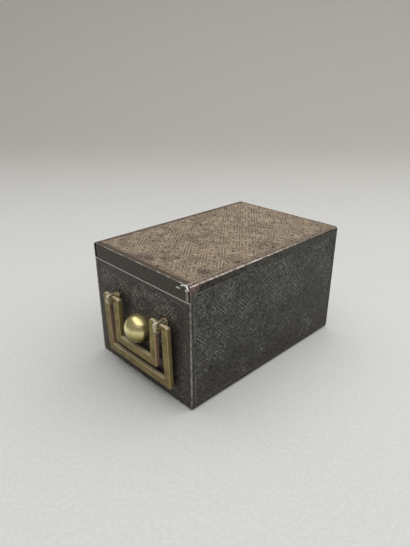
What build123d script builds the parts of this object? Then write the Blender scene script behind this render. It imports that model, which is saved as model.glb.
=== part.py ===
"""Small iron box with a sliding lid.

A bent iron wrap forms the floor and both long sides, and its top edges turn inwards as lips.
A front and a back plate close its ends. The lid runs under the lips and slides out to the front,
over two brass bails, one inside the other, that swing on the same pair of eyes, round a brass boss.
A silver border line is let into each outer face.

Millimetres. +X is to the right and -Y to the front, with the origin at the middle of the underside.
"""
import os

from build123d import *

# Case: outer sizes, and the iron sheet that it is made of
case_width = 76.0
case_length = 114.0
case_height = 66.0
sheet_thickness = 1.0
lower_bend_inner_radius = 0.8
lip_bend_inner_radius = 0.5
lip_width = 2.2
worn_edge_radius = 0.3

# Clearances: moving faces, peened shanks in their holes, and how far a cut runs past what it cuts
running_gap = 0.3
rivet_fit = 0.05
cut_overrun = 1.0

# Lid: front bar, the two runners under the lips, and the strip along its back edge
lid_bar_height = 8.0
lid_bar_depth = 3.0
lid_bar_end_gap = 0.8
lid_bar_edge_radius = 0.7
lid_edge_radius = 0.25
lid_rim_radius = 0.2
runner_width = 6.0
runner_thickness = 1.2
back_strip_depth = 6.0

# Ledges inside the case, which carry the runners
ledge_width = 3.0
ledge_height = 3.0

# Bails: square-cornered brass bars that hang from one axis, and lean towards the front by some degrees
bail_bar_width = 4.5
bail_bar_depth = 2.6
bail_corner_radius = 1.6
bail_inner_corner_radius = 0.6
bail_edge_radius = 0.6
bail_head_radius = 2.45
bail_head_rise = 0.15
outer_bail_width = 52.4
outer_bail_low = 7.4
outer_bail_lean = 1.7
inner_bail_width = 34.2
inner_bail_low = 16.3
inner_bail_lean = 0.0
trunnion_radius = 1.1
trunnion_fit = 0.35

# Eyes that hold the bails, each with a collar outside and a rove inside
handle_axis_height = 41.3
handle_axis_standoff = 3.2
eye_radius = 3.1
eye_drop = 0.7
eye_width = 2.0
eye_rim_radius = 0.5
eye_collar_radius = 2.4
eye_collar_thickness = 0.9
eye_shank_radius = 1.3
eye_rove_radius = 3.0
eye_rove_thickness = 0.8
eye_peen_radius = 1.9
eye_peen_height = 0.9

# Boss: a brass ball, cut flat where it sits on the front
boss_radius = 7.7
boss_height = 30.4
boss_centre_standoff = 1.0
boss_shank_radius = 2.0
boss_rove_radius = 4.5
boss_rove_thickness = 1.0
boss_peen_radius = 2.9
boss_peen_height = 1.1

# Silver border lines: wire size, the ground cut back inside each line, and how far it lies from the edges
inlay_width = 0.6
inlay_depth = 0.3
field_recess = 0.08
front_border_side = 4.0
front_border_low = 2.6
front_border_top = 2.4
side_border_end = 1.9
side_border_low = 3.4
side_border_top = 4.2
lid_border_inset = 0.5

# Places that follow from the sizes above
front_face = -case_length / 2
back_face = case_length / 2
inner_half_width = case_width / 2 - sheet_thickness
lid_bar_low = case_height - lid_bar_height
lid_bar_back = front_face + lid_bar_depth
lip_front = lid_bar_back + running_gap
runner_top = case_height - sheet_thickness - running_gap
runner_low = runner_top - runner_thickness
runner_outer = inner_half_width - running_gap
runner_inner = runner_outer - runner_width
ledge_top = runner_low - running_gap
lid_half_width = case_width / 2 - lip_width - running_gap
lid_bar_half_width = inner_half_width - lid_bar_end_gap
front_plate_top = lid_bar_low - running_gap
back_plate_top = ledge_top
front_field = front_face + field_recess
handle_axis_y = front_face - handle_axis_standoff
bail_top = handle_axis_height + bail_bar_depth / 2
bail_head_middle = bail_top + bail_head_rise - bail_head_radius
outer_arm_inside = outer_bail_width / 2 - bail_bar_width
inner_arm_outside = inner_bail_width / 2
eye_x = (outer_arm_inside + inner_arm_outside) / 2

front_plane = Plane(origin=(0, front_face, 0), x_dir=(1, 0, 0), z_dir=(0, -1, 0))
back_plane = Plane(origin=(0, back_face, 0), x_dir=(-1, 0, 0), z_dir=(0, 1, 0))
left_plane = Plane(origin=(-case_width / 2, 0, 0), x_dir=(0, -1, 0), z_dir=(-1, 0, 0))
right_plane = Plane(origin=(case_width / 2, 0, 0), x_dir=(0, 1, 0), z_dir=(1, 0, 0))
top_plane = Plane(origin=(0, 0, case_height))


def block(x_range, y_range, z_range):
    """Box between two corners, given as a range on each axis."""
    lows, highs = zip(x_range, y_range, z_range)
    size = [high - low for low, high in zip(lows, highs)]
    centre = [(high + low) / 2 for low, high in zip(lows, highs)]
    return Pos(*centre) * Box(*size)


def panel(width, low, high):
    """Upright rectangle, centred across, from low to high."""
    return Pos(0, (low + high) / 2) * Rectangle(width, high - low)


def round_low(face, radius):
    """Round the lowest corners of an upright outline."""
    return fillet(face.vertices().group_by(Axis.Y)[0], radius)


def round_top(face, radius):
    """Round the highest corners of an upright outline."""
    return fillet(face.vertices().group_by(Axis.Y)[-1], radius)


def along_length(face, front, back):
    """Upright outline, drawn across the box, made solid from front to back."""
    return extrude(Plane.XZ.offset(-front) * face, amount=front - back)


def rod(radius, start, end, axis):
    """Round bar from start to end along a unit axis."""
    length = (Vector(*end) - Vector(*start)).dot(Vector(*axis))
    return extrude(Plane(origin=start, z_dir=axis) * Circle(radius), amount=length)


def border_field(width, low, high):
    """Outline of the ground inside the border wire of one face."""
    return panel(width - 2 * inlay_width, low + inlay_width, high - inlay_width)


def border_frame(plane, width, low, high):
    """Silver border wire of one face, sunk flush into it."""
    outline = panel(width, low, high) - border_field(width, low, high)
    return extrude(plane * outline, amount=-inlay_depth)


def border_ground(plane, width, low, high):
    """Thin layer that is cut away inside the border wire of one face."""
    return extrude(plane * border_field(width, low, high), amount=-field_recess)


def is_outside(edge):
    """Whether an edge at an end of the wrap lies on its outside."""
    middle = edge @ 0.5
    margin = sheet_thickness / 4
    beside = abs(middle.X) > inner_half_width + margin
    return beside or middle.Z < margin or middle.Z > case_height - margin


def shank(x, z, radius, outer_standoff, rove_thickness, peen_radius, peen_height):
    """Round shank through the front plate, peened over its rove inside the case."""
    rove_back = front_face + sheet_thickness + rove_thickness
    stem = rod(radius, (x, front_face - outer_standoff, z), (x, rove_back, z), (0, 1, 0))
    head = rod(peen_radius, (x, rove_back, z), (x, rove_back + peen_height, z), (0, 1, 0))
    return stem + fillet(head.faces().sort_by(Axis.Y)[-1].edges(), peen_height / 2)


def rove(x, z, radius, thickness, hole_radius):
    """Flat washer inside the case, under a peened shank."""
    front = front_face + sheet_thickness
    back = front + thickness
    disc = rod(radius, (x, front, z), (x, back, z), (0, 1, 0))
    hole = rod(hole_radius, (x, front - cut_overrun, z), (x, back + cut_overrun, z), (0, 1, 0))
    return disc - hole


def handle_eye(x):
    """Brass eye: a ring that hangs a little below its bore, on a collar, with a shank through the front plate."""
    z = handle_axis_height
    left = x - eye_width / 2
    right = x + eye_width / 2
    ring_y = handle_axis_y - eye_drop
    ring_z = handle_axis_height - eye_drop
    ring = rod(eye_radius, (left, ring_y, ring_z), (right, ring_y, ring_z), (1, 0, 0))
    ring = fillet(ring.edges().filter_by(GeomType.CIRCLE), eye_rim_radius)
    collar_front = front_face - eye_collar_thickness
    collar = rod(eye_collar_radius, (x, collar_front, z), (x, front_field, z), (0, 1, 0))
    bore_radius = trunnion_radius + trunnion_fit
    bore_start = (left - cut_overrun, handle_axis_y, z)
    bore_end = (right + cut_overrun, handle_axis_y, z)
    bore = rod(bore_radius, bore_start, bore_end, (1, 0, 0))
    wall_middle = handle_axis_standoff - (eye_radius - eye_drop + bore_radius) / 2
    stem = shank(x, z, eye_shank_radius, wall_middle, eye_rove_thickness, eye_peen_radius, eye_peen_height)
    return ring + collar + stem - bore


def bail(width, low, lean, pin_from, pin_to):
    """Brass bail: a cross bar and two arms, each with a domed half-round knuckle and a trunnion at its top."""
    outline = panel(width, low, bail_top)
    opening = panel(width - 2 * bail_bar_width, low + bail_bar_width, bail_top + cut_overrun)
    outline = round_low(outline - round_low(opening, bail_inner_corner_radius), bail_corner_radius)
    half_depth = bail_bar_depth / 2
    bars = along_length(outline, handle_axis_y - half_depth, handle_axis_y + half_depth)
    side_plane = Plane(origin=(-width / 2, handle_axis_y, 0), x_dir=(0, 1, 0), z_dir=(1, 0, 0))
    knuckle = Pos(0, handle_axis_height) * Circle(half_depth)
    side_outline = panel(bail_bar_depth, low, handle_axis_height) + knuckle
    bars &= extrude(side_plane * side_outline, amount=width)
    flats = bars.faces().filter_by(Axis.Y).sort_by(Axis.Y)
    rims = [group for flat in (flats[0], flats[-1]) for group in flat.edges().group_by(Axis.Z)[:-1]]
    bars = fillet([edge for group in rims for edge in group], bail_edge_radius)
    for side in (-1, 1):
        arm_middle = side * (width - bail_bar_width) / 2
        reach = bail_bar_width / 2 + cut_overrun
        head = block(
            (arm_middle - reach, arm_middle + reach),
            (handle_axis_y - reach, handle_axis_y + reach),
            (bail_head_middle, bail_top + cut_overrun),
        )
        bars -= head - Pos(arm_middle, handle_axis_y, bail_head_middle) * Sphere(bail_head_radius)
        ends = sorted((side * pin_from, side * pin_to))
        starts = [(x, handle_axis_y, handle_axis_height) for x in ends]
        bars += rod(trunnion_radius, *starts, (1, 0, 0))
    return bars.rotate(Axis((0, handle_axis_y, handle_axis_height), (1, 0, 0)), lean)


# Wrap: one bent sheet, floor, two sides and two lips, with the lips cut away behind the lid's front bar
wrap_outside = panel(case_width, 0, case_height)
wrap_outside = round_low(wrap_outside, lower_bend_inner_radius + sheet_thickness)
wrap_outside = round_top(wrap_outside, lip_bend_inner_radius + sheet_thickness)
wrap_inside = panel(2 * inner_half_width, sheet_thickness, case_height - sheet_thickness)
wrap_inside = round_low(wrap_inside, lower_bend_inner_radius)
wrap_inside = round_top(wrap_inside, lip_bend_inner_radius)
mouth_low = case_height - sheet_thickness - cut_overrun
wrap_mouth = panel(case_width - 2 * lip_width, mouth_low, case_height + cut_overrun)
wrap = along_length(wrap_outside - wrap_inside - wrap_mouth, front_face, back_face)
wrap -= block(
    (-inner_half_width, inner_half_width),
    (front_face - cut_overrun, lip_front),
    (lid_bar_low, case_height + cut_overrun),
)
wrap_ends = wrap.faces().sort_by(Axis.Y)
wrap_rims = [edge for end in (wrap_ends[0], wrap_ends[-1]) for edge in end.edges() if is_outside(edge)]
wrap = fillet(wrap_rims, worn_edge_radius)

# Front and back plates, set between the sides, with their lower corners in the bends
end_plate_width = 2 * inner_half_width
front_outline = panel(end_plate_width, sheet_thickness, front_plate_top)
front_outline = round_low(front_outline, lower_bend_inner_radius)
front_plate = along_length(front_outline, front_face, front_face + sheet_thickness)
front_rim = front_plate.edges().filter_by(Axis.X).group_by(Axis.Y)[0].sort_by(Axis.Z)[-1]
front_plate = fillet(front_rim, worn_edge_radius)
back_outline = panel(end_plate_width, sheet_thickness, back_plate_top)
back_outline = round_low(back_outline, lower_bend_inner_radius)
back_plate = along_length(back_outline, back_face - sheet_thickness, back_face)
back_rim = back_plate.edges().filter_by(Axis.X).group_by(Axis.Y)[-1].sort_by(Axis.Z)[-1]
back_plate = fillet(back_rim, worn_edge_radius)

shank_holes = [
    (-eye_x, handle_axis_height, eye_shank_radius),
    (eye_x, handle_axis_height, eye_shank_radius),
    (0, boss_height, boss_shank_radius),
]
for hole_x, hole_z, hole_shank in shank_holes:
    hole_start = (hole_x, front_face - cut_overrun, hole_z)
    hole_end = (hole_x, front_face + sheet_thickness + cut_overrun, hole_z)
    front_plate -= rod(hole_shank + rivet_fit, hole_start, hole_end, (0, 1, 0))

# Lid: patterned plate between the lips, runners under them, front bar and back strip
lid_plate = block((-lid_half_width, lid_half_width), (lid_bar_back, back_face), (runner_top, case_height))
lid_plate = fillet(lid_plate.edges().filter_by(Axis.Z), lid_edge_radius)
lid_plate = fillet(lid_plate.faces().sort_by(Axis.Z)[-1].edges(), lid_rim_radius)
lid_bar = block(
    (-lid_bar_half_width, lid_bar_half_width),
    (front_face, lid_bar_back),
    (lid_bar_low, case_height),
)
lid_bar_rims = lid_bar.faces().sort_by(Axis.Y)[0].edges()
lid_bar = fillet(lid_bar_rims.sort_by(Axis.Z)[-1], lid_bar_edge_radius)
lid_bar_rims = lid_bar.faces().sort_by(Axis.Y)[0].edges()
lid_bar = fillet(lid_bar_rims.sort_by(Axis.Z)[0:3], worn_edge_radius)
lid_back_strip = block(
    (-runner_inner, runner_inner),
    (back_face - back_strip_depth, back_face),
    (runner_low, runner_top),
)

# Border lines: the face that each lies in, its width, and its lower and upper edge
end_border_width = case_width - 2 * front_border_side
side_border = (case_length - 2 * side_border_end, side_border_low, case_height - side_border_top)
lid_border = (
    2 * (lid_half_width - lid_border_inset),
    lid_bar_back + lid_border_inset,
    back_face - lid_border_inset,
)
border_places = {
    "front": (front_plane, end_border_width, front_border_low, front_plate_top - front_border_top),
    "back": (back_plane, end_border_width, front_border_low, back_plate_top - front_border_top),
    "left": (left_plane, *side_border),
    "right": (right_plane, *side_border),
    "lid": (top_plane, *lid_border),
}
borders = {f"{face}_border_inlay": border_frame(*place) for face, place in border_places.items()}
grounds = {face: border_ground(*place) for face, place in border_places.items()}
front_plate = front_plate - borders["front_border_inlay"] - grounds["front"]
back_plate = back_plate - borders["back_border_inlay"] - grounds["back"]
lid_plate = lid_plate - borders["lid_border_inlay"] - grounds["lid"]
for face in ("left", "right"):
    wrap = wrap - borders[f"{face}_border_inlay"] - grounds[face]

# Boss: the ball is cut flat at the front plate, and its shank is peened inside
boss_ball = Pos(0, front_face - boss_centre_standoff, boss_height) * Sphere(boss_radius)
boss_reach = boss_radius + boss_centre_standoff + cut_overrun
boss_ball -= block(
    (-boss_reach, boss_reach),
    (front_field, front_face + boss_reach),
    (boss_height - boss_reach, boss_height + boss_reach),
)
front_boss = boss_ball + shank(
    0,
    boss_height,
    boss_shank_radius,
    boss_centre_standoff,
    boss_rove_thickness,
    boss_peen_radius,
    boss_peen_height,
)

# Every piece by its name
pieces = {
    "body_wrap": wrap,
    "front_plate": front_plate,
    "back_plate": back_plate,
    "lid_plate": lid_plate,
    "lid_front_bar": lid_bar,
    "lid_back_strip": lid_back_strip,
    "front_boss": front_boss,
    "boss_rove": rove(0, boss_height, boss_rove_radius, boss_rove_thickness, boss_shank_radius + rivet_fit),
    "outer_bail": bail(
        outer_bail_width,
        outer_bail_low,
        outer_bail_lean,
        outer_arm_inside + bail_bar_width / 2,
        eye_x + running_gap / 2,
    ),
    "inner_bail": bail(
        inner_bail_width,
        inner_bail_low,
        inner_bail_lean,
        inner_arm_outside - bail_bar_width / 2,
        eye_x - running_gap / 2,
    ),
    **borders,
}
for side_name, side in (("left", -1), ("right", 1)):
    ledge_across = sorted((side * inner_half_width, side * (inner_half_width - ledge_width)))
    runner_across = sorted((side * runner_outer, side * runner_inner))
    ledge_along = (lip_front, back_face - sheet_thickness)
    ledge_up = (ledge_top - ledge_height, ledge_top)
    runner_along = (lid_bar_back, back_face)
    pieces[f"{side_name}_lid_ledge"] = block(ledge_across, ledge_along, ledge_up)
    pieces[f"lid_{side_name}_runner"] = block(runner_across, runner_along, (runner_low, runner_top))
    pieces[f"{side_name}_handle_eye"] = handle_eye(side * eye_x)
    pieces[f"{side_name}_eye_rove"] = rove(
        side * eye_x, handle_axis_height, eye_rove_radius, eye_rove_thickness, eye_shank_radius + rivet_fit
    )

os.makedirs("parts", exist_ok=True)
for name, piece in pieces.items():
    export_step(piece, f"parts/{name}.step")
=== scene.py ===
"""Looks of the small iron box with a sliding lid.

The case, the lid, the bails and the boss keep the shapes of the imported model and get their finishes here.
The key fret of silver lines is laid on the five patterned faces as raised runs of wire, inside each border
line, and is rubbed away where the real box is worn. Lengths are millimetres unless a name says otherwise.
"""

import logging
import math
from collections.abc import Iterator
from dataclasses import dataclass, field, replace
from enum import Enum
from typing import Any

import bmesh
import bpy
from mathutils import Matrix, Vector, noise


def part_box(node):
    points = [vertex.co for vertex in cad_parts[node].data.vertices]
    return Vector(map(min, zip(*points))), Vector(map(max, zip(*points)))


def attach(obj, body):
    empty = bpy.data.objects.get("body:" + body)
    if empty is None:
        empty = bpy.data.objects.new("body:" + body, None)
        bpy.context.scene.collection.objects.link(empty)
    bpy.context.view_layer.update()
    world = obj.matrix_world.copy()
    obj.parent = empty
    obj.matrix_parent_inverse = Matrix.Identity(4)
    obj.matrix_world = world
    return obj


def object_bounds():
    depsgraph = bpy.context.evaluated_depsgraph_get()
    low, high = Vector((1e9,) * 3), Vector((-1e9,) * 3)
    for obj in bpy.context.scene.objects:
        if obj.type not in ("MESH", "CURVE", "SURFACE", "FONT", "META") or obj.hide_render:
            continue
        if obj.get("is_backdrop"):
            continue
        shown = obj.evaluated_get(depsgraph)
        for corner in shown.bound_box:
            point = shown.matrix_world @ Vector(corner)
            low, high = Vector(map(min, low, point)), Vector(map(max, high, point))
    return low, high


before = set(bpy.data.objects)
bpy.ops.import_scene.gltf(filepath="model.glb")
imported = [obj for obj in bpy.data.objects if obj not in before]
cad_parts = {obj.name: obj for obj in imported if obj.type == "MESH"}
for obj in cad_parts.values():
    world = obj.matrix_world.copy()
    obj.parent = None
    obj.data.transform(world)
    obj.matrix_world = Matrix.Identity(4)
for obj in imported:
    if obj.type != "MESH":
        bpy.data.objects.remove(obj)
cad_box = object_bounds()

MM = 0.001

Point = tuple[float, float]
Place = tuple[float, float, float]
Key = tuple[int, int]
Tree = bpy.types.NodeTree
Node = bpy.types.Node
Socket = bpy.types.NodeSocket
Piece = bpy.types.Object
# A ramp has a start, a stop, and the shares at both where they aren't nought and one
Ramp = tuple[float, ...]
Limit = tuple[Node | Socket, Ramp]
Tone = str | Socket
Layer = tuple[Node, Tone]

# Sockets by number: the outputs of a split vector, and the inputs and the output of a mix of colours
X, Y, Z = range(3)
SHARE, UNDER, OVER = 0, 6, 7
MIXED = 2

log = logging.getLogger("box")


def linear(hex_colour: str) -> tuple[float, ...]:
    """Turn an sRGB colour into the linear one that shaders use.

    Args:
        hex_colour: Six hex digits after a hash sign.

    Returns:
        Red, green, blue and an alpha of one.
    """
    shares = [int(hex_colour[i:i + 2], 16) / 255 for i in (1, 3, 5)]
    red, green, blue = (s / 12.92 if s <= 0.04045 else ((s + 0.055) / 1.055) ** 2.4 for s in shares)
    return red, green, blue, 1.0


def add_node(tree: Tree, kind: str, inputs: dict[Any, Any] | tuple[Any, ...] = (), **settings: Any) -> Node:
    """Add one shader node with its settings and links.

    Args:
        tree: Node tree of a material or of the world.
        kind: Type of the node, without the words ShaderNode.
        inputs: A value, socket or node for each input, by name, by number or in order. A node gives its first
            output.
        settings: Properties of the node.

    Returns:
        The new node.
    """
    node = tree.nodes.new("ShaderNode" + kind)
    for name, value in settings.items():
        setattr(node, name, value)
    for key, value in inputs.items() if isinstance(inputs, dict) else enumerate(inputs):
        source = value.outputs[0] if isinstance(value, bpy.types.Node) else value
        if isinstance(source, bpy.types.NodeSocket):
            tree.links.new(source, node.inputs[key])
        else:
            node.inputs[key].default_value = source
    return node


class Face(Enum):
    """Outer faces that carry the fret: outward axis, and the axes to the right and up as seen from outside."""

    FRONT = ((0, -1, 0), (1, 0, 0), (0, 0, 1))
    BACK = ((0, 1, 0), (-1, 0, 0), (0, 0, 1))
    LEFT = ((-1, 0, 0), (0, -1, 0), (0, 0, 1))
    RIGHT = ((1, 0, 0), (0, 1, 0), (0, 0, 1))
    LID = ((0, 0, 1), (1, 0, 0), (0, 1, 0))

    @property
    def label(self) -> str:
        """Name of the face as the model's nodes have it."""
        return self.name.lower()


@dataclass
class Surface:
    """Node tree of one material, with what its patterns start from: where a point lies and how it is turned.

    The slant is the normal without its signs. The squareness is its largest part: one on a face that is square
    to an axis, and less on a rounded edge.
    """

    tree: Tree
    spot: Node = field(init=False)
    place: Any = field(init=False)
    turn: Any = field(init=False)
    slant: Any = field(init=False)
    squareness: Node = field(init=False)

    def __post_init__(self) -> None:
        """Turn the place into millimetres, and split it and the normal into their parts."""
        coords = add_node(self.tree, "TexCoord").outputs
        scaled = {0: coords["Object"], "Scale": 1 / MM}
        self.spot = add_node(self.tree, "VectorMath", scaled, operation="SCALE")
        unsigned = add_node(self.tree, "VectorMath", (coords["Normal"],), operation="ABSOLUTE")
        vectors = self.spot, coords["Normal"], unsigned
        self.place, self.turn, self.slant = (add_node(self.tree, "SeparateXYZ", (v,)).outputs for v in vectors)
        level = add_node(self.tree, "Math", (self.slant[X], self.slant[Y]), operation="MAXIMUM")
        self.squareness = add_node(self.tree, "Math", (level, self.slant[Z]), operation="MAXIMUM")

    def share(self, *limits: Limit) -> Node:
        """Find the share that holds within some limits.

        Args:
            limits: A value and its ramp, for each limit.

        Returns:
            Node whose first output is the product of the ramps.
        """
        share, *others = (add_node(self.tree, "MapRange", (value, *ramp)) for value, ramp in limits)
        for other in others:
            share = add_node(self.tree, "Math", (share, other), operation="MULTIPLY")
        return share

    def layered(self, ground: Tone, *layers: Layer) -> Socket:
        """Lay tones over a ground.

        Args:
            ground: Hex colour or socket of the ground.
            layers: The share and the tone of each layer, from the lowest.

        Returns:
            Socket of the colour.
        """
        under = linear(ground) if isinstance(ground, str) else ground
        for share, tone in layers:
            mix = {SHARE: share, UNDER: under, OVER: linear(tone) if isinstance(tone, str) else tone}
            under = add_node(self.tree, "Mix", mix, data_type="RGBA").outputs[MIXED]
        return under


@dataclass(frozen=True)
class Patch:
    """Ball in the model's frame that marks out a rubbed, smeared or polished place."""

    centre: Place
    radius: float

    def share(self, surface: Surface, core: float, most: float) -> Node:
        """Fade from nothing at the ball's skin to the most in its core.

        Args:
            surface: Surface that the ball marks.
            core: Radius of the core, as a share of the ball's.
            most: Share within the core.

        Returns:
            Node whose first output is the share.
        """
        reach = add_node(surface.tree, "VectorMath", (surface.spot, self.centre), operation="DISTANCE")
        return surface.share((reach.outputs["Value"], (self.radius, core * self.radius, 0.0, most)))


@dataclass(frozen=True)
class Finish:
    """What every finish has: a name for the real material and how its surface was made."""

    name: str

    def material(self) -> bpy.types.Material:
        """Make the material, or give back the one that is there.

        Returns:
            Material with its node tree.
        """
        found = bpy.data.materials.get(self.name)
        if found is not None:
            return found
        made = bpy.data.materials.new(self.name)
        made.use_nodes = True
        made.node_tree.nodes.clear()
        shader = add_node(made.node_tree, "BsdfPrincipled", self.shade(Surface(made.node_tree)))
        add_node(made.node_tree, "OutputMaterial", {"Surface": shader})
        return made

    def shade(self, surface: Surface) -> dict[str, Any]:
        """Inputs of the shader: colour, gloss, metal and bump."""
        raise NotImplementedError


@dataclass(frozen=True)
class PatinatedIron(Finish):
    """Wrought iron sheet, forged, chemically browned and rubbed: dull and dark, bright along its edges where worn,
    and there partly with a painted highlight.
    """

    # Patina: blotches of two tones, with others low down, above a height and in smears, and a lighter tone on what
    # faces up that is painted light
    ground: str
    bloom: str = "#534a41"
    bloom_size: float = 7.0
    bloom_range: Ramp = (0.4, 0.66)
    low_rust: str | None = None
    low_heights: Ramp = (8.0, 34.0, 0.75, 0.0)
    stain: str | None = None
    stain_heights: Ramp = (61.9, 62.5, 0.0, 0.8)
    stain_reach: Ramp = (-45.0, -15.0, 1.0, 0.15)
    painted_top_light: str | None = None
    painted_top_light_turn: Ramp = (0.5, 0.9)
    smear: str = "#65524a"
    smears: tuple[Patch, ...] = ()
    smear_core: float = 0.4
    smear_share: float = 0.85
    metallic: float = 0.55
    roughness: Point = (0.44, 0.62)

    # Forge grain is about 0.3 mm wide and pits about 0.5 mm: both are drawn coarser, so that they show
    grain_size: float = 0.9
    grain_tone: Ramp = (0.3, 0.7, 0.72, 1.22)
    grain_depth: float = 0.02
    grain_strength: float = 0.7
    pit_size: float = 1.0
    pit_tone: Ramp = (0.54, 0.64, 1.0, 0.6)

    # Bare metal: in patches along rounded edges, fading and turning tan towards the back as a painted highlight,
    # and on front ends, on a band, past a place, and in worn places
    bare: str = "#b4aca0"
    back_wear_and_highlight: str | None = None
    back_wear_and_highlight_reach: Ramp = (-17.0, 18.0)
    bare_metallic: float = 0.55
    bare_roughness: float = 0.34
    edge_squareness: Ramp = (0.96, 0.78)
    edge_heights: Ramp = (3.0, 6.0)
    edge_wear_and_highlight_reach: Ramp | None = None
    edge_patch_size: float = 5.0
    edge_patch_range: Ramp = (0.42, 0.56, 0.25, 1.0)
    end_turn: Ramp | None = None
    end_heights: Ramp = (58.0, 58.5, 1.0, 0.0)
    band_height: float | None = None
    band_reach: Ramp = (0.35, 0.21, 0.0, 0.95)
    rubbed_reach: Ramp | None = None
    worn_places: tuple[Patch, ...] = ()
    worn_core: float = 0.5
    worn_share: float = 0.8

    # Painted shade on what faces sideways: the ends of the bar, down in the slits beside it
    painted_slit_shade: str | None = None
    slit_shade_slant: Ramp = (0.8, 0.95)

    def worn(self, surface: Surface) -> Node:
        """Find where the metal is bare, and where the lip's edge carries a painted highlight.

        Args:
            surface: Surface to shade.

        Returns:
            Node whose first output is the share of bare metal and painted highlight.
        """
        tree, place = surface.tree, surface.place
        edges = [(surface.squareness, self.edge_squareness), (place[Z], self.edge_heights)]
        # Painted highlight: the bright edge fades towards the back
        if self.edge_wear_and_highlight_reach is not None:
            edges.append((place[Y], self.edge_wear_and_highlight_reach))
        share = surface.share(*edges)
        if self.end_turn is not None:
            ends = surface.share((surface.turn[Y], self.end_turn), (place[Z], self.end_heights))
            share = add_node(tree, "Math", (share, ends), operation="MAXIMUM")
        scale = 1 / self.edge_patch_size
        patches = add_node(tree, "TexNoise", {"Vector": surface.spot, "Scale": scale, "Detail": 5.0})
        broken = surface.share((patches, self.edge_patch_range))
        share = add_node(tree, "Math", (share, broken), operation="MULTIPLY")
        rubbed = [patch.share(surface, self.worn_core, self.worn_share) for patch in self.worn_places]
        if self.band_height is not None:
            off = add_node(tree, "Math", (place[Z], self.band_height), operation="SUBTRACT")
            away = add_node(tree, "Math", (off,), operation="ABSOLUTE")
            rubbed.append(surface.share((away, self.band_reach)))
        if self.rubbed_reach is not None:
            rubbed.append(surface.share((place[X], self.rubbed_reach)))
        for part in rubbed:
            share = add_node(tree, "Math", (share, part), operation="MAXIMUM")
        return share

    def patina(self, surface: Surface, grain: Node) -> Socket:
        """Lay the tones of the patina over each other, and darken them in the grain and the pits.

        Args:
            surface: Surface to shade.
            grain: Noise of the forge grain.

        Returns:
            Socket of the colour.
        """
        tree, spot, place = surface.tree, surface.spot, surface.place
        mottle = add_node(tree, "TexNoise", {"Vector": spot, "Scale": 1 / self.bloom_size, "Detail": 7.0})
        layers = [(surface.share((mottle, self.bloom_range)), self.bloom)]
        if self.low_rust is not None:
            layers.append((surface.share((place[Z], self.low_heights)), self.low_rust))
        if self.stain is not None:
            stained = surface.share((place[Z], self.stain_heights), (place[Y], self.stain_reach))
            layers.append((stained, self.stain))
        # Painted light: a lighter tone on what faces up, where the light falls on it
        if self.painted_top_light is not None:
            layers.append((surface.share((surface.turn[Z], self.painted_top_light_turn)), self.painted_top_light))
        layers += [(patch.share(surface, self.smear_core, self.smear_share), self.smear) for patch in self.smears]
        pits = add_node(tree, "TexNoise", {"Vector": spot, "Scale": 1 / self.pit_size, "Detail": 1.0})
        darker = surface.share((grain, self.grain_tone), (pits, self.pit_tone))
        mix = {SHARE: 1.0, UNDER: surface.layered(self.ground, *layers), OVER: darker}
        return add_node(tree, "Mix", mix, data_type="RGBA", blend_type="MULTIPLY").outputs[MIXED]

    def shade(self, surface: Surface) -> dict[str, Any]:
        """Mottle the patina, brighten what is worn and the painted highlight on the lip, and roughen the grain.

        Args:
            surface: Surface to shade.

        Returns:
            Inputs of the shader.
        """
        tree = surface.tree
        grain = add_node(tree, "TexNoise", {"Vector": surface.spot, "Scale": 1 / self.grain_size, "Detail": 4.0})
        worn = self.worn(surface)
        bare: Tone = self.bare
        # Painted highlight: the lip's bright line turns tan towards the back
        if self.back_wear_and_highlight is not None:
            back = surface.share((surface.place[Y], self.back_wear_and_highlight_reach))
            bare = surface.layered(bare, (back, self.back_wear_and_highlight))
        layers = [(worn, bare)]
        # Painted shade on the faces that turn sideways, in the slits
        if self.painted_slit_shade is not None:
            layers.append((surface.share((surface.slant[X], self.slit_shade_slant)), self.painted_slit_shade))
        dull = add_node(tree, "MapRange", (grain, 0.0, 1.0, *self.roughness))
        metal: float | Node = self.metallic
        if self.bare_metallic != self.metallic:
            metal = add_node(tree, "MapRange", (worn, 0.0, 1.0, self.metallic, self.bare_metallic))
        bump = {"Height": grain, "Distance": self.grain_depth * MM, "Strength": self.grain_strength}
        return {
            "Base Color": surface.layered(self.patina(surface, grain), *layers),
            "Roughness": add_node(tree, "Mix", {"Factor": worn, "A": dull, "B": self.bare_roughness}),
            "Metallic": metal,
            "Normal": add_node(tree, "Bump", bump),
        }


@dataclass(frozen=True)
class InlaidSilver(Finish):
    """Silver wire, hammered into cross-cut iron and tarnished: pale where rubbed, gone where worn through."""

    silver: str
    tarnish: str
    tarnish_size: float = 5.0
    tarnish_range: Ramp = (0.38, 0.62)
    iron: str = "#45423d"
    loss_size: float = 3.0
    loss_range: Ramp = (0.56, 0.68)
    loss_by_wear: float = 0.45
    loss_reach: Ramp | None = None
    metallic: float = 0.75
    roughness: Point = (0.34, 0.54)

    def shade(self, surface: Surface) -> dict[str, Any]:
        """Mix silver, tarnish and the iron that shows through.

        Args:
            surface: Surface to shade.

        Returns:
            Inputs of the shader.
        """
        tree, spot = surface.tree, surface.spot
        tone = add_node(tree, "TexNoise", {"Vector": spot, "Scale": 1 / self.tarnish_size, "Detail": 5.0})
        tarnished = surface.share((tone, self.tarnish_range))
        holes = add_node(tree, "TexNoise", {"Vector": spot, "Scale": 1 / self.loss_size, "Detail": 6.0})
        wear = add_node(tree, "Attribute", attribute_name="wear").outputs["Fac"]
        thin = add_node(tree, "Math", (wear, self.loss_by_wear, holes), operation="MULTIPLY_ADD")
        lost = surface.share((thin, self.loss_range))
        if self.loss_reach is not None:
            gone = surface.share((surface.place[Y], self.loss_reach))
            lost = add_node(tree, "Math", (lost, gone), operation="MAXIMUM")
        return {
            "Base Color": surface.layered(self.silver, (tarnished, self.tarnish), (lost, self.iron)),
            "Roughness": add_node(tree, "MapRange", (tone, 0.0, 1.0, *self.roughness)),
            "Metallic": self.metallic,
        }


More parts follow.
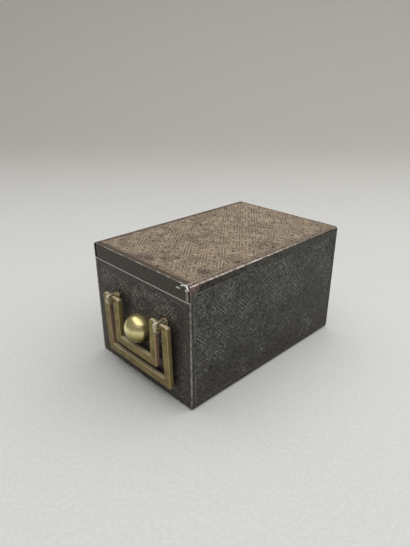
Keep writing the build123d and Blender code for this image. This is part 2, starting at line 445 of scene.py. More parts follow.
@dataclass(frozen=True)
class AgedBrass(Finish):
    """Yellow brass, cast, filed and polished by handling: olive where it has dulled, pale on its corners from wear
    and from a painted highlight.
    """

    # Tones in patches, with a warmer blush, and paler on rounded corners, partly rubbed and partly a painted
    # highlight
    polished: str
    dulled: str
    patch_size: float = 6.0
    patch_range: Ramp = (0.38, 0.62)
    blush: str | None = None
    blush_size: float = 8.05
    blush_range: Ramp = (0.5, 0.68, 0.0, 0.6)
    rubbed: str = "#d8c994"
    corner_wear_and_highlight: Ramp = (0.97, 0.78, 0.0, 0.6)
    metallic: float = 1.0
    roughness: Point = (0.2, 0.42)

    # Sides of a bar, duller and less metallic, and rosy in the slot between the bails, partly tarnish and partly
    # painted reflection; and its pale top, a painted highlight
    flank: str | None = None
    flank_slant: Ramp = (0.6, 0.9, 0.0, 0.9)
    flank_metallic: float = 0.15
    front_slant: Ramp = (0.3, 0.75)
    slot_tarnish_and_reflection: str = "#b08f7c"
    slot_start: Ramp = (14.5, 15.5)
    slot_stop: Ramp = (23.0, 24.0, 1.0, 0.0)
    painted_top_light: str = "#e2d3ae"
    painted_top_light_turn: Ramp = (0.35, 0.8, 0.0, 0.9)

    # Painted shade: a darker underside of a ball, more metallic than its top
    under: str | None = None
    painted_shade_turn: Ramp = (0.2, -0.35)
    over_metallic: float = 0.85

    # Pins, bright where they run in the eyes, partly rubbed and partly a painted highlight
    pin: str = "#e3c9b8"
    pin_places: tuple[Patch, ...] = ()
    pin_core: float = 0.7

    # File marks are about 0.1 mm wide: they are drawn coarser, so that they show
    scratch_size: float = 0.5
    scratch_depth: float = 0.006
    scratch_strength: float = 0.6

    def shade(self, surface: Surface) -> dict[str, Any]:
        """Mix polished and dulled brass, with its paler corners, its sides, painted light on tops and painted
        shade under a ball, and fine file marks.

        Args:
            surface: Surface to shade.

        Returns:
            Inputs of the shader.
        """
        tree, spot, turn, slant = surface.tree, surface.spot, surface.turn, surface.slant
        patch = add_node(tree, "TexNoise", {"Vector": spot, "Scale": 1 / self.patch_size, "Detail": 6.0})
        layers = [(surface.share((patch, self.patch_range)), self.dulled)]
        if self.blush is not None:
            warm = add_node(tree, "TexNoise", {"Vector": spot, "Scale": 1 / self.blush_size, "Detail": 3.0})
            layers.append((surface.share((warm, self.blush_range)), self.blush))
        # Rounded corners paler: rubbed wear and painted highlight
        layers.append((surface.share((surface.squareness, self.corner_wear_and_highlight)), self.rubbed))
        metal: float | Node = self.metallic
        # Sides of the bars: duller, and rosy in the slot, partly tarnish and partly painted reflection
        if self.flank is not None:
            away = add_node(tree, "Math", (surface.place[X],), operation="ABSOLUTE")
            slot = surface.share((away, self.slot_start), (away, self.slot_stop))
            flank = surface.layered(self.flank, (slot, self.slot_tarnish_and_reflection))
            layers.append((surface.share((slant[X], self.flank_slant)), flank))
            # Painted highlight: a pale tone on the tops of the bars, where the light falls on them
            layers.append((surface.share((turn[Z], self.painted_top_light_turn)), self.painted_top_light))
            metal = add_node(tree, "MapRange", (slant[Y], *self.front_slant, self.flank_metallic, self.metallic))
        # Painted shade on the underside of a ball
        if self.under is not None:
            painted_shade_below = surface.share((turn[Z], self.painted_shade_turn))
            layers.append((painted_shade_below, self.under))
            metal = add_node(tree, "MapRange", (painted_shade_below, 0.0, 1.0, self.over_metallic, self.metallic))
        layers += [(place.share(surface, self.pin_core, 1.0), self.pin) for place in self.pin_places]
        marks = add_node(tree, "TexNoise", {"Vector": spot, "Scale": 1 / self.scratch_size, "Detail": 3.0})
        bump = {"Height": marks, "Distance": self.scratch_depth * MM, "Strength": self.scratch_strength}
        return {
            "Base Color": surface.layered(self.polished, *layers),
            "Roughness": add_node(tree, "MapRange", (patch, 0.0, 1.0, *self.roughness)),
            "Metallic": metal,
            "Normal": add_node(tree, "Bump", bump),
        }


@dataclass(frozen=True)
class PaperWithPaintedShade(Finish):
    """Background paper, matt, with a faint tooth, and a painted shade from pale in front to mid grey behind."""

    near: str = "#d9dbda"
    far: str = "#b4b1ac"
    painted_shade_reach: Ramp = (-60.0, 820.0)
    roughness: float = 0.9

    # The tooth of paper is about 0.2 mm: it is drawn coarser, so that it shows
    tooth_size: float = 1.6
    tooth_tone: Point = (0.88, 1.12)
    tooth_depth: float = 0.02
    tooth_strength: float = 0.3

    def shade(self, surface: Surface) -> dict[str, Any]:
        """Paint shade on the paper behind the box and give it its faint tooth.

        Args:
            surface: Surface to shade.

        Returns:
            Inputs of the shader.
        """
        tree, spot = surface.tree, surface.spot
        # Painted shade: the paper darkens behind the box
        ramp = (surface.place[Y], *self.painted_shade_reach)
        far = add_node(tree, "MapRange", ramp, interpolation_type="SMOOTHSTEP")
        tooth = add_node(tree, "TexNoise", {"Vector": spot, "Scale": 1 / self.tooth_size, "Detail": 4.0})
        fleck = add_node(tree, "MapRange", (tooth, 0.0, 1.0, *self.tooth_tone))
        mix = {SHARE: 1.0, UNDER: surface.layered(self.near, (far, self.far)), OVER: fleck}
        bump = {"Height": tooth, "Distance": self.tooth_depth * MM, "Strength": self.tooth_strength}
        return {
            "Base Color": add_node(tree, "Mix", mix, data_type="RGBA", blend_type="MULTIPLY").outputs[MIXED],
            "Roughness": self.roughness,
            "Normal": add_node(tree, "Bump", bump),
        }


# Browned iron sheet: dark olive grey, pitted, rusty low down, with a bright line along its lip that is partly bare
# metal and partly a painted highlight, and a lighter tone on the lips' tops that is painted light
CASE_IRON = PatinatedIron(
    "patinated_wrought_iron",
    ground="#51524c",
    bloom="#514d46",
    low_rust="#504740",
    stain="#3a2f2a",
    painted_top_light="#85766a",
    smear="#8f766c",
    smears=(Patch((37.6, -55.0, 65.4), 4.6),),
    smear_share=0.7,
    pit_size=1.2,
    pit_tone=(0.51, 0.61, 1.0, 0.28),
    bare="#d3c8bf",
    back_wear_and_highlight="#b3a284",
    edge_squareness=(0.9, 0.74),
    edge_wear_and_highlight_reach=(8.0, 28.0, 1.0, 0.3),
    edge_patch_size=2.4,
    end_turn=(-0.9, -0.98, 0.0, 0.58),
    worn_places=(Patch((-37.5, -57.0, 57.6), 0.9),),
)
# The same sheet where no hand rubs it: its edges stay brown
BACK_IRON = PatinatedIron(
    "patinated_wrought_iron_back",
    ground="#545550",
    bloom="#534f48",
    low_rust="#504740",
    pit_size=1.2,
    pit_tone=(0.51, 0.61, 1.0, 0.15),
    bare="#9a8b74",
)
# Browned iron behind the handles: warmer and smoother, bright in a line where the lid's bar rubs it
FRONT_IRON = PatinatedIron(
    "patinated_wrought_iron_front",
    ground="#55514c",
    bloom="#524a43",
    pit_size=1.3,
    pit_tone=(0.54, 0.64, 1.0, 0.4),
    bare="#cfc9bf",
    band_height=57.5,
)
# Browned iron bar, pushed by thumbs: bright at its right end and along its edges, with painted shade on its ends
# in the slits and a lighter tone on its top that is painted light
BAR_IRON = PatinatedIron(
    "patinated_wrought_iron_lid_bar",
    ground="#4f4c46",
    painted_top_light="#5f5346",
    bare="#ded6ca",
    edge_heights=(0.5, 1.0),
    rubbed_reach=(34.4, 35.2, 0.0, 0.3),
    painted_slit_shade="#1b1714",
)
# Iron upset and burnished by use, coloured near white as a painted highlight: a small curve that catches the light
BURNISHED_HIGHLIGHT_IRON = PatinatedIron(
    "burnished_iron_painted_highlight",
    ground="#fdfaf2",
    bloom="#f0eadf",
    metallic=0.15,
    roughness=(0.22, 0.4),
    pit_tone=(0.54, 0.64, 1.0, 1.0),
)
# Browned iron rubbed thin by hands, with dark pits and a few darker smears: its light, warm brown is partly the
# rubbed iron and partly painted light, the warm sheen of its lit top
LID_IRON = PatinatedIron(
    "rubbed_iron_with_painted_sheen",
    ground="#9a8976",
    bloom="#8d7d70",
    bloom_size=9.0,
    smears=(
        Patch((-5.5, -52.8, 66.0), 2.6),
        Patch((0.0, -49.6, 66.0), 3.2),
        Patch((5.0, -45.0, 66.0), 2.4),
        Patch((9.5, -39.5, 66.0), 2.2),
        Patch((30.3, -42.0, 66.0), 3.2),
        Patch((33.5, -22.7, 66.0), 2.6),
    ),
    roughness=(0.42, 0.6),
    grain_tone=(0.3, 0.7, 0.66, 1.25),
    pit_size=1.3,
    pit_tone=(0.54, 0.64, 1.0, 0.12),
    bare="#c4b6a2",
)
# Forged iron that was never finished: dark and rusty, seen only when the box is open
INNER_IRON = PatinatedIron("forged_iron_inside", ground="#3c3733", bloom="#54402f", roughness=(0.54, 0.72))

# Tarnished wire of the sides' fret: thin grey lines, little lighter than the iron, with gaps
CASE_SILVER = InlaidSilver(
    "tarnished_silver_wire",
    silver="#888880",
    tarnish="#61605a",
    iron="#363631",
    loss_size=1.6,
    loss_range=(0.54, 0.74),
)
# Border wire gone dark: a faint frame
CASE_RIM_SILVER = InlaidSilver(
    "sulphided_silver_wire", silver="#74746e", tarnish="#565550", iron="#42413c", loss_range=(0.5, 0.68)
)
# Border wire of the right side: clear at the front and lost towards the back
RIGHT_RIM_SILVER = InlaidSilver(
    "part_lost_silver_wire",
    silver="#7b7b74",
    tarnish="#5a5953",
    iron="#403f3a",
    loss_range=(0.5, 0.68),
    loss_reach=(-35.0, 0.0, 0.0, 0.9),
)
# Border wire of the front: blackened, hardly there
FRONT_SILVER = InlaidSilver("blackened_silver_wire", silver="#6f6b65", tarnish="#4c4843", loss_range=(0.45, 0.6))
# Wire of the front's fret, kept bright by the handles: the clearest lines, with dark gaps
FRONT_FRET_SILVER = InlaidSilver(
    "polished_silver_wire",
    silver="#97948b",
    tarnish="#6b6861",
    iron="#34312d",
    loss_size=1.6,
    loss_range=(0.52, 0.7),
)
# Wire of the lid's fret, rubbed with the lid: cream lines on the brown
LID_SILVER = InlaidSilver(
    "rubbed_silver_wire",
    silver="#d8c6ad",
    tarnish="#ad9a85",
    iron="#6b5a4d",
    loss_size=1.8,
    loss_range=(0.6, 0.8),
)
# Border wire of the lid: cream too, but half worn away
LID_RIM_SILVER = InlaidSilver(
    "worn_silver_wire", silver="#c4b299", tarnish="#958471", iron="#7a6a5c", loss_range=(0.42, 0.56)
)

# Filed bars, handled for years: olive yellow fronts with a soft shine, dull rosy sides that are partly tarnish and
# partly painted reflection, and pale tops that are a painted highlight
BAIL_BRASS = AgedBrass(
    "filed_aged_brass",
    polished="#9a8850",
    dulled="#766840",
    patch_size=3.5,
    blush="#8f7048",
    metallic=0.65,
    roughness=(0.28, 0.5),
    flank="#85784c",
)
# Small worn castings: pale rims on a dull olive, both made paler and less metallic as painted light where the eyes
# sit in shade, and the rims painted highlights
EYE_BRASS = AgedBrass(
    "dulled_brass",
    polished="#d8caa0",
    dulled="#70653f",
    patch_size=1.3,
    rubbed="#fbf3e0",
    corner_wear_and_highlight=(0.97, 0.78, 0.0, 0.8),
    metallic=0.4,
    roughness=(0.24, 0.46),
)
# A ball polished by fingers, uneven enough to break up its shine: pale gold above, partly painted light, and olive
# below, a painted shade
BOSS_BRASS = AgedBrass(
    "polished_brass",
    polished="#fbf0b8",
    dulled="#e2d292",
    corner_wear_and_highlight=(0.97, 0.78, 0.0, 0.2),
    roughness=(0.16, 0.38),
    under="#8a7f4e",
    scratch_size=2.6,
    scratch_depth=0.09,
)
# Paper: matt, with painted shade that makes it darker behind the box than in front
PAPER = PaperWithPaintedShade("background_paper_painted_shade")

# The fret is drawn in units, STEP of them between two crosses, and its points are keyed by half units
STEP = 6
HALVES = 2
CROSSES_EACH_WAY = 24
ARM = ((0, 0), (1.5, 0), (1.5, 1.5), (2.5, 1.5), (2.5, -7.5), (1.5, -7.5), (1.5, -6), (0, -6))
QUARTER_TURNS = ((1, 0), (0, 1), (-1, 0), (0, -1))
CORNERS = ((-1, -1), (1, -1), (1, 1), (-1, 1))
SIDES = ((0, -1), (1, 0), (0, 1), (-1, 0))


@dataclass(frozen=True)
class Lattice:
    """Run of the fret on one face: the middle of a left-turning cross, and the steps to the crosses beside it."""

    cross: Point
    along: Point
    across: Point

    def point(self, u: float, v: float) -> Point:
        """Place on the face of a point in units."""
        return tuple(c + u / STEP * a + v / STEP * b for c, a, b in zip(self.cross, self.along, self.across))


@dataclass(frozen=True)
class RubbedOval:
    """Oval on a face where the silver has gone, or has kept better where the strength is below nought."""

    centre: Point
    radii: Point
    strength: float

    def wear(self, p: float, q: float) -> float:
        """Wear that the oval gives at one point, full in its inner half."""
        off = math.hypot((p - self.centre[X]) / self.radii[X], (q - self.centre[Y]) / self.radii[Y])
        return self.strength * max(0.0, min(1.0, 2 * (1 - off)))


@dataclass
class FretPanel:
    """Silver key fret on one face, from crosses that turn left and right by turns, linked by long hooked arms."""

    face: Face
    body: str
    finish: Finish
    lattice: Lattice
    ovals: tuple[RubbedOval, ...] = ()
    clear_circles: tuple[tuple[Point, float], ...] = ()
    line_width: float = 0.56
    line_bevel: float = 0.07
    rise: float = 0.07
    rise_lost: float = 0.8
    sunk: float = 0.03
    ground_recess: float = 0.08
    border_wire: float = 0.6
    channel: float = 0.7
    wobble: float = 0.1
    wobble_size: float = 9.0
    wobble_seed: int = 1
    longest_run: float = 3.0
    run_margin: float = 6.0
    cross_margin: float = 18.0
    wear_base: float = 0.22
    wear_swing: float = 0.5
    wear_size: float = 11.0
    lost_above: float = 0.92
    outward: Vector = field(init=False)
    right: Vector = field(init=False)
    up: Vector = field(init=False)
    plane: float = field(init=False)
    low: Point = field(init=False)
    high: Point = field(init=False)

    def __post_init__(self) -> None:
        """Take the plane and the outline of the ground from the border wire's node."""
        self.outward, self.right, self.up = (Vector(axis) for axis in self.face.value)
        corners = [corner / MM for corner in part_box(f"{self.face.label}_border_inlay")]
        self.plane = max(self.outward.dot(corner) for corner in corners)
        margin = self.border_wire + self.channel
        spans = [sorted(axis.dot(corner) for corner in corners) for axis in (self.right, self.up)]
        self.low = tuple(span[0] + margin for span in spans)
        self.high = tuple(span[1] - margin for span in spans)

    def holds(self, p: float, q: float, margin: float) -> bool:
        """Whether a point lies on the ground, grown by a margin."""
        return all(low - margin <= value <= high + margin for low, value, high in zip(self.low, (p, q), self.high))

    def wear(self, p: float, q: float) -> float:
        """Find how far the silver is worn at a point.

        Args:
            p: Place to the right.
            q: Place upwards.

        Returns:
            Wear, from none at zero to gone at one.
        """
        worn = self.wear_base + self.wear_swing * noise.noise(Vector((p, q, self.plane)) / self.wear_size)
        worn += sum(oval.wear(p, q) for oval in self.ovals)
        return max(0.0, min(1.0, worn))

    def keeps(self, start: Key, end: Key) -> bool:
        """Find whether the run between two points is still on the face.

        Args:
            start: One end of the run, in half units.
            end: The other end.

        Returns:
            Whether its middle lies near the ground, clear of the fittings and not worn away.
        """
        p, q = self.lattice.point(*((a + b) / 2 / HALVES for a, b in zip(start, end)))
        covered = any(math.dist((p, q), centre) < radius for centre, radius in self.clear_circles)
        return self.holds(p, q, self.run_margin) and not covered and self.wear(p, q) < self.lost_above

    def arms(self) -> Iterator[list[Point]]:
        """Lay out the four arms of every left-turning cross on the ground.

        Yields:
            Corners of one arm, in units.
        """
        reach = range(-CROSSES_EACH_WAY, CROSSES_EACH_WAY + 1)
        for i, j in ((STEP * i, STEP * j) for i in reach for j in reach if (i + j) % 2 == 0):
            if self.holds(*self.lattice.point(i, j), self.cross_margin):
                for cos, sin in QUARTER_TURNS:
                    yield [(i + cos * x - sin * y, j + sin * x + cos * y) for x, y in ARM]

    def runs(self) -> dict[Key, set[Key]]:
        """Cut the arms into short runs and leave out what has gone.

        Returns:
            For each point, in half units, the points that a run joins it to.
        """
        joined: dict[Key, set[Key]] = {}
        for arm in self.arms():
            for start, end in zip(arm, arm[1:]):
                pieces = math.ceil(math.dist(start, end) / self.longest_run)
                shares = [k / pieces for k in range(pieces + 1)]
                keys = [tuple(round(HALVES * (s + t * (e - s))) for s, e in zip(start, end)) for t in shares]
                for one, other in zip(keys, keys[1:]):
                    if self.keeps(one, other):
                        joined.setdefault(one, set()).add(other)
                        joined.setdefault(other, set()).add(one)
        return joined

    def place(self, u: float, v: float, is_top: bool) -> Vector:
        """Find a point of the wire in the model's frame.

        Args:
            u: Place along the fret, in units.
            v: Place across the fret, in units.
            is_top: Whether the point is on top of the wire, or else on its foot.

        Returns:
            The point in metres, drawn a little off the straight line as by hand.
        """
        p, q = self.lattice.point(u, v)
        shake = noise.noise_vector(Vector((p, q, self.plane)) / self.wobble_size) * self.wobble
        p, q = p + shake.x, q + shake.y
        height = self.rise * (1 - self.rise_lost * self.wear(p, q)) if is_top else -self.sunk
        depth = self.plane - self.ground_recess + height
        return (self.outward * depth + self.right * p + self.up * q) * MM

    def mesh(self) -> bpy.types.Mesh:
        """Build the closed runs of wire: a top, a foot and sloped sides, with square joints.

        Returns:
            Mesh of the whole face, not yet trimmed.
        """
        unit = math.hypot(*self.lattice.along) / STEP
        half = self.line_width / 2 / unit
        inner = half - self.line_bevel / unit
        points: list[Vector] = []
        faces: list[tuple[int, ...]] = []
        first: dict[Key, int] = {}
        ways: dict[Key, dict[Key, Key]] = {}
        for key, others in self.runs().items():
            steps = {tuple((b > a) - (b < a) for a, b in zip(key, other)): other for other in others}
            ways[key] = steps
            first[key] = len(points)
            u, v = (value / HALVES for value in key)
            points += [self.place(u + inner * x, v + inner * y, True) for x, y in CORNERS]
            for x, y in CORNERS:
                has_x, has_y = (x, 0) in steps, (0, y) in steps
                foot_x = inner if has_x and not has_y else half
                foot_y = inner if has_y and not has_x else half
                points.append(self.place(u + foot_x * x, v + foot_y * y, False))
        # Each joint has its four top points first and its four foot points after them
        for key, steps in ways.items():
            top = first[key]
            foot = top + len(CORNERS)
            faces.append((top, top + 1, top + 2, top + 3))
            faces.append((foot + 3, foot + 2, foot + 1, foot))
            for side, step in enumerate(SIDES):
                a, b, c, d = ((side + turn) % len(SIDES) for turn in range(len(SIDES)))
                if step not in steps:
                    faces.append((foot + a, foot + b, top + b, top + a))
                elif step in ((1, 0), (0, 1)):
                    to_top = first[steps[step]]
                    to_foot = to_top + len(CORNERS)
                    faces.append((top + a, to_top + d, to_top + c, top + b))
                    faces.append((foot + b, to_foot + c, to_foot + d, foot + a))
                    faces.append((foot + a, to_foot + d, to_top + d, top + a))
                    faces.append((to_foot + c, foot + b, top + b, to_top + c))
        mesh = bpy.data.meshes.new(f"{self.face.label}_fret")
        mesh.from_pydata(points, [], faces)
        return mesh

    def trim(self, mesh: bpy.types.Mesh) -> None:
        """Cut the wire off along the border's channel and close the cut ends.

        Args:
            mesh: Mesh of the fret, which is changed.
        """
        shape = bmesh.new()
        shape.from_mesh(mesh)
        for axis, low, high in zip((self.right, self.up), self.low, self.high):
            for limit, normal in ((low, -axis), (high, axis)):
                everything = shape.verts[:] + shape.edges[:] + shape.faces[:]
                bmesh.ops.bisect_plane(
                    shape, geom=everything, plane_co=axis * limit * MM, plane_no=normal, clear_outer=True
                )
                ends = [edge for edge in shape.edges if edge.is_boundary]
                bmesh.ops.holes_fill(shape, edges=ends, sides=0)
        bmesh.ops.recalc_face_normals(shape, faces=shape.faces[:])
        shape.to_mesh(mesh)
        shape.free()

    def build(self) -> Piece:
        """Make the fret, give it its wear and let it ride on its body.

        Returns:
            The finished piece.
        """
        noise.seed_set(self.wobble_seed)
        mesh = self.mesh()
        self.trim(mesh)
        spots = [vertex.co / MM for vertex in mesh.vertices]
        values = [self.wear(self.right.dot(spot), self.up.dot(spot)) for spot in spots]
        mesh.attributes.new("wear", "FLOAT", "POINT").data.foreach_set("value", values)
        mesh.materials.append(self.finish.material())
        piece = bpy.data.objects.new(f"{self.face.label}_fret", mesh)
        bpy.context.scene.collection.objects.link(piece)
        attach(piece, self.body)
        return piece


@dataclass(frozen=True)
class BarEndCurl:
    """Upset corner of the lid's front bar: the metal has curled over where the bar meets the right side. Its beads
    follow the bright lines there and carry a painted highlight.
    """

    finish: Finish = BURNISHED_HIGHLIGHT_IRON
    arch: tuple[Place, ...] = (
        (31.6, -56.95, 64.4),
        (32.6, -56.9, 65.1),
        (33.9, -56.6, 65.3),
        (35.3, -56.9, 65.25),
        (36.4, -57.4, 64.9),
        (37.3, -57.5, 64.3),
    )
    hook: tuple[Place, ...] = ((34.6, -56.95, 62.7), (35.2, -57.0, 63.4), (36.2, -57.3, 63.8), (37.2, -57.5, 64.0))
    dash: tuple[Place, ...] = ((28.5, -56.95, 63.0), (29.9, -56.95, 63.0), (31.4, -56.95, 63.15))
    thickness: float = 0.55
    dash_thickness: float = 0.4
    end_thickness_share: float = 0.35
    sides: int = 8
    steps: int = 6

    def spine(self, corners: tuple[Place, ...]) -> list[Vector]:
        """Round a line of corners into a smooth run of points.

        Args:
            corners: Points of the line.

        Returns:
            Points of the run, in millimetres.
        """
        ends = (corners[0], *corners, corners[-1])
        run = []
        for before, start, end, after in zip(ends, ends[1:], ends[2:], ends[3:]):
            for step in range(self.steps):
                t = step / self.steps
                spread = (-t + 2 * t**2 - t**3, 2 - 5 * t**2 + 3 * t**3, t + 4 * t**2 - 3 * t**3, -(t**2) + t**3)
                near = zip(spread, (before, start, end, after))
                run.append(sum((k * Vector(at) / 2 for k, at in near), Vector()))
        return run + [Vector(corners[-1])]

    def bead(
        self, corners: tuple[Place, ...], thickness: float, points: list[Vector], faces: list[tuple[int, ...]]
    ) -> None:
        """Add a bead along a line, thin at both ends.

        Args:
            corners: Points of the line.
            thickness: Radius of the bead at its middle.
            points: Points of the mesh, which get the bead's.
            faces: Faces of the mesh, which get the bead's.
        """
        run = self.spine(corners)
        first = len(points)
        least = self.end_thickness_share
        for i, at in enumerate(run):
            along = (run[min(i + 1, len(run) - 1)] - run[max(i - 1, 0)]).normalized()
            across = along.cross(Vector((0, 1, 0))).normalized()
            outward = across.cross(along)
            radius = thickness * (least + (1 - least) * math.sin(math.pi * i / (len(run) - 1)) ** 0.5)
            for side in range(self.sides):
                turn = 2 * math.pi * side / self.sides
                points.append((at + radius * (math.cos(turn) * across + math.sin(turn) * outward)) * MM)
        for i in range(len(run) - 1):
            ring = first + i * self.sides
            for side in range(self.sides):
                a, b = ring + side, ring + (side + 1) % self.sides
                faces.append((a, b, b + self.sides, a + self.sides))
        last = first + (len(run) - 1) * self.sides
        faces.append(tuple(range(first + self.sides - 1, first - 1, -1)))
        faces.append(tuple(range(last, last + self.sides)))

    def build(self) -> Piece:
        """Make the curl from its three beads and let it ride on the lid.

        Returns:
            The finished piece.
        """
        points: list[Vector] = []
        faces: list[tuple[int, ...]] = []
        beads = (self.arch, self.thickness), (self.hook, self.thickness), (self.dash, self.dash_thickness)
        for corners, thickness in beads:
            self.bead(corners, thickness, points, faces)
        mesh = bpy.data.meshes.new("lid_bar_curl")
        mesh.from_pydata(points, [], faces)
        mesh.shade_smooth()
        mesh.materials.append(self.finish.material())
        piece = bpy.data.objects.new("lid_bar_curl", mesh)
        bpy.context.scene.collection.objects.link(piece)
        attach(piece, "lid")
        return piece


@dataclass
class SubAssembly:
    """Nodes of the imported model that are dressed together, and the thin pieces that are laid on them."""

    def finishes(self) -> dict[str, Finish]:
        """Finish of each node."""
        raise NotImplementedError

    def thin_pieces(self) -> list[FretPanel | BarEndCurl]:
        """Thin pieces that are laid on the nodes."""
        return []

    def build(self) -> Iterator[Piece]:
        """Dress the nodes and lay the thin pieces on them.

        Yields:
            Each finished piece.
        """
        for node, finish in self.finishes().items():
            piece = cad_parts[node]
            piece.data.materials.clear()
            piece.data.materials.append(finish.material())
            yield piece
        for thin_piece in self.thin_pieces():
            yield thin_piece.build()


@dataclass
class Case(SubAssembly):
    """Iron case: bent wrap and end plates, what is fixed inside, and border wires and fret on its sides."""

    side_lattice: Lattice = Lattice((-45.29, 85.91), (5.4398, 6.6219), (-6.1149, 5.9961))
    end_lattice: Lattice = Lattice((0.0, 30.4), (6.08, 6.08), (-6.08, 6.08))
    right_rubbed: tuple[RubbedOval, ...] = (
        RubbedOval((52.0, 20.0), (70.0, 60.0), 0.3),
        RubbedOval((-28.0, 8.0), (48.0, 20.0), 0.42),
        RubbedOval((-42.0, 40.0), (20.0, 16.0), -0.12),
        RubbedOval((8.0, 46.0), (24.0, 14.0), -0.12),
    )
    left_rubbed: tuple[RubbedOval, ...] = (RubbedOval((-50.0, 24.0), (50.0, 45.0), 0.3),)
    back_rubbed: tuple[RubbedOval, ...] = (RubbedOval((10.0, 20.0), (30.0, 22.0), 0.4),)
    # Boss and eyes, each with the radius that the fret keeps clear of
    fittings: tuple[tuple[Point, float], ...] = (((0.0, 30.4), 7.9), ((19.4, 41.3), 2.6), ((-19.4, 41.3), 2.6))

    def finishes(self) -> dict[str, Finish]:
        """Choose the finish of each node.

        Returns:
            Finish by the node's name.
        """
        hidden = "left_lid_ledge", "right_lid_ledge", "left_eye_rove", "right_eye_rove", "boss_rove"
        return {
            "body_wrap": CASE_IRON,
            "front_plate": FRONT_IRON,
            "back_plate": BACK_IRON,
            "front_border_inlay": FRONT_SILVER,
            "back_border_inlay": CASE_RIM_SILVER,
            "left_border_inlay": CASE_RIM_SILVER,
            "right_border_inlay": RIGHT_RIM_SILVER,
            **dict.fromkeys(hidden, INNER_IRON),
        }

    def thin_pieces(self) -> list[FretPanel | BarEndCurl]:
        """Lay out the frets of the four upright faces, that of the front clear of the boss and the eyes.

        Returns:
            The four frets.
        """
        return [
            FretPanel(Face.RIGHT, "case", CASE_SILVER, self.side_lattice, ovals=self.right_rubbed),
            FretPanel(Face.LEFT, "case", CASE_SILVER, self.side_lattice, ovals=self.left_rubbed),
            FretPanel(Face.FRONT, "case", FRONT_FRET_SILVER, self.end_lattice, clear_circles=self.fittings),
            FretPanel(Face.BACK, "case", CASE_SILVER, self.end_lattice, ovals=self.back_rubbed),
        ]


@dataclass
class Lid(SubAssembly):
    """Sliding lid: plate, front bar, runners and back strip, with its border wire, its fret and the bar's curl."""

    lattice: Lattice = Lattice((-35.49, 48.82), (6.7456, 5.3159), (-6.1450, 6.8881))
    rubbed: tuple[RubbedOval, ...] = (
        RubbedOval((-2.5, -50.5), (7.0, 4.5), 1.0),
        RubbedOval((7.0, -42.5), (4.5, 4.0), 0.8),
        RubbedOval((30.3, -42.0), (4.2, 3.8), 1.0),
        RubbedOval((33.5, -22.7), (3.5, 3.0), 0.8),
    )

    def finishes(self) -> dict[str, Finish]:
        """Choose the finish of each node.

        Returns:
            Finish by the node's name.
        """
        hidden = "lid_left_runner", "lid_right_runner", "lid_back_strip"
        return {
            "lid_plate": LID_IRON,
            "lid_front_bar": BAR_IRON,
            "lid_border_inlay": LID_RIM_SILVER,
            **dict.fromkeys(hidden, INNER_IRON),
        }

    def thin_pieces(self) -> list[FretPanel | BarEndCurl]:
        """Fret on the plate, and the curl at the bar's right end."""
        return [FretPanel(Face.LID, "lid", LID_SILVER, self.lattice, ovals=self.rubbed), BarEndCurl()]


@dataclass
class Handles(SubAssembly):
    """Brass on the front: two nested bails, the eyes that carry them, and the boss."""

    pins: tuple[Patch, ...] = (Patch((-19.4, -60.2, 41.3), 2.6), Patch((19.4, -60.2, 41.3), 2.6))

    def finishes(self) -> dict[str, Finish]:
        """Choose the finish of each node, with the bails' pins bright in their eyes, partly rubbed and partly a
        painted highlight.

        Returns:
            Finish by the node's name.
        """
        bail_brass = replace(BAIL_BRASS, pin_places=self.pins)
        return {
            "outer_bail": bail_brass,
            "inner_bail": bail_brass,
            "left_handle_eye": EYE_BRASS,
            "right_handle_eye": EYE_BRASS,
            "front_boss": BOSS_BRASS,
        }


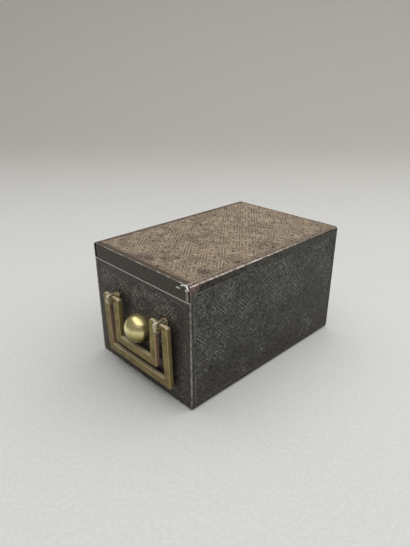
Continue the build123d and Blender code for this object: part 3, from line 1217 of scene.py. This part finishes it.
@dataclass
class Studio:
    """Background paper, lights and the camera, where the photograph was taken from."""

    camera_place: Place = (169.478, -174.735, 151.946)
    camera_forward: Place = (-0.6577, 0.6309, -0.41158)
    camera_roll_degrees: float = -0.128
    camera_clip: float = 10.0
    focal_pixels: float = 467.63
    long_side_pixels: float = 547.0
    sensor: float = 36.0
    paper_near: float = 1800.0
    paper_far: float = 620.0
    paper_bend: float = 500.0
    paper_height: float = 1700.0
    paper_half_width: float = 7000.0
    bend_steps: int = 24
    world_grey: str = "#b9bbbd"
    world_strength: float = 0.42
    softbox_place: Place = (120.0, 320.0, 1300.0)
    softbox_aim: Place = (0.0, 0.0, 30.0)
    softbox_size: float = 3000.0
    softbox_watts: float = 40.0
    softbox_tint: str = "#fffdfa"

    def build_paper(self) -> Piece:
        """Lay the paper under the box and curve it up behind.

        Returns:
            The sweep, which is no part of the object.
        """
        outline = [(-self.paper_near, 0.0)]
        for step in range(self.bend_steps + 1):
            turn = math.radians(90 * step / self.bend_steps)
            reach = self.paper_far + self.paper_bend * math.sin(turn)
            outline.append((reach, self.paper_bend * (1 - math.cos(turn))))
        outline.append((self.paper_far + self.paper_bend, self.paper_height))
        half = self.paper_half_width
        points = [Vector((side, reach, height)) * MM for reach, height in outline for side in (-half, half)]
        faces = [(2 * i, 2 * i + 1, 2 * i + 3, 2 * i + 2) for i in range(len(outline) - 1)]
        mesh = bpy.data.meshes.new("paper_sweep")
        mesh.from_pydata(points, [], faces)
        mesh.shade_smooth()
        mesh.materials.append(PAPER.material())
        sweep = bpy.data.objects.new("paper_sweep", mesh)
        sweep.rotation_euler.z = math.atan2(-self.camera_forward[X], self.camera_forward[Y])
        bpy.context.scene.collection.objects.link(sweep)
        sweep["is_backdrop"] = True
        return sweep

    def hang_softbox(self) -> Piece:
        """Hang a square softbox that points at the box.

        Returns:
            The light.
        """
        data = bpy.data.lights.new("overhead_softbox", "AREA")
        data.size = self.softbox_size * MM
        data.energy = self.softbox_watts
        data.color = linear(self.softbox_tint)[:3]
        light = bpy.data.objects.new("overhead_softbox", data)
        light.location = Vector(self.softbox_place) * MM
        way = Vector(self.softbox_aim) * MM - light.location
        light.rotation_euler = way.to_track_quat("-Z", "Y").to_euler()
        bpy.context.scene.collection.objects.link(light)
        return light

    def light_room(self) -> None:
        """Fill the room with even grey light."""
        world = bpy.data.worlds.new("room")
        world.use_nodes = True
        world.node_tree.nodes.clear()
        light = {"Color": linear(self.world_grey), "Strength": self.world_strength}
        glow = add_node(world.node_tree, "Background", light)
        add_node(world.node_tree, "OutputWorld", {"Surface": glow})
        bpy.context.scene.world = world

    def place_camera(self) -> Piece:
        """Put the camera where the photograph was taken from.

        Returns:
            The camera.
        """
        forward = Vector(self.camera_forward).normalized()
        right = forward.cross(Vector((0, 0, 1))).normalized()
        up = right.cross(forward)
        turn = Matrix((right, up, -forward)).transposed()
        turn = turn @ Matrix.Rotation(math.radians(self.camera_roll_degrees), 3, "Z")
        data = bpy.data.cameras.new("camera")
        data.sensor_width = self.sensor
        data.lens = self.sensor * self.focal_pixels / self.long_side_pixels
        data.clip_start = self.camera_clip * MM
        camera = bpy.data.objects.new("camera", data)
        camera.matrix_world = Matrix.Translation(Vector(self.camera_place) * MM) @ turn.to_4x4()
        bpy.context.scene.collection.objects.link(camera)
        bpy.context.scene.camera = camera
        return camera

    def build(self) -> list[Piece]:
        """Set up the room, the paper, the light and the camera.

        Returns:
            What stands in the studio.
        """
        self.light_room()
        bpy.context.scene.view_settings.view_transform = "Standard"
        return [self.build_paper(), self.hang_softbox(), self.place_camera()]


def main() -> None:
    """Build the sub-assemblies and the studio in order, and work out both boxes."""
    logging.basicConfig(level=logging.INFO, format="%(name)s: %(message)s")
    for part in (Case(), Lid(), Handles()):
        for piece in part.build():
            finish, faces = piece.data.materials[0].name, len(piece.data.polygons)
            log.info("%s: %s in %s, %d faces", type(part).__name__, piece.name, finish, faces)
    for thing in Studio().build():
        log.info("Studio: %s", thing.name)
    boxes = {"cad": cad_box, "visual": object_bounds()}
    {name: [list(corner) for corner in corners] for name, corners in boxes.items()}


if __name__ == "__main__":
    main()
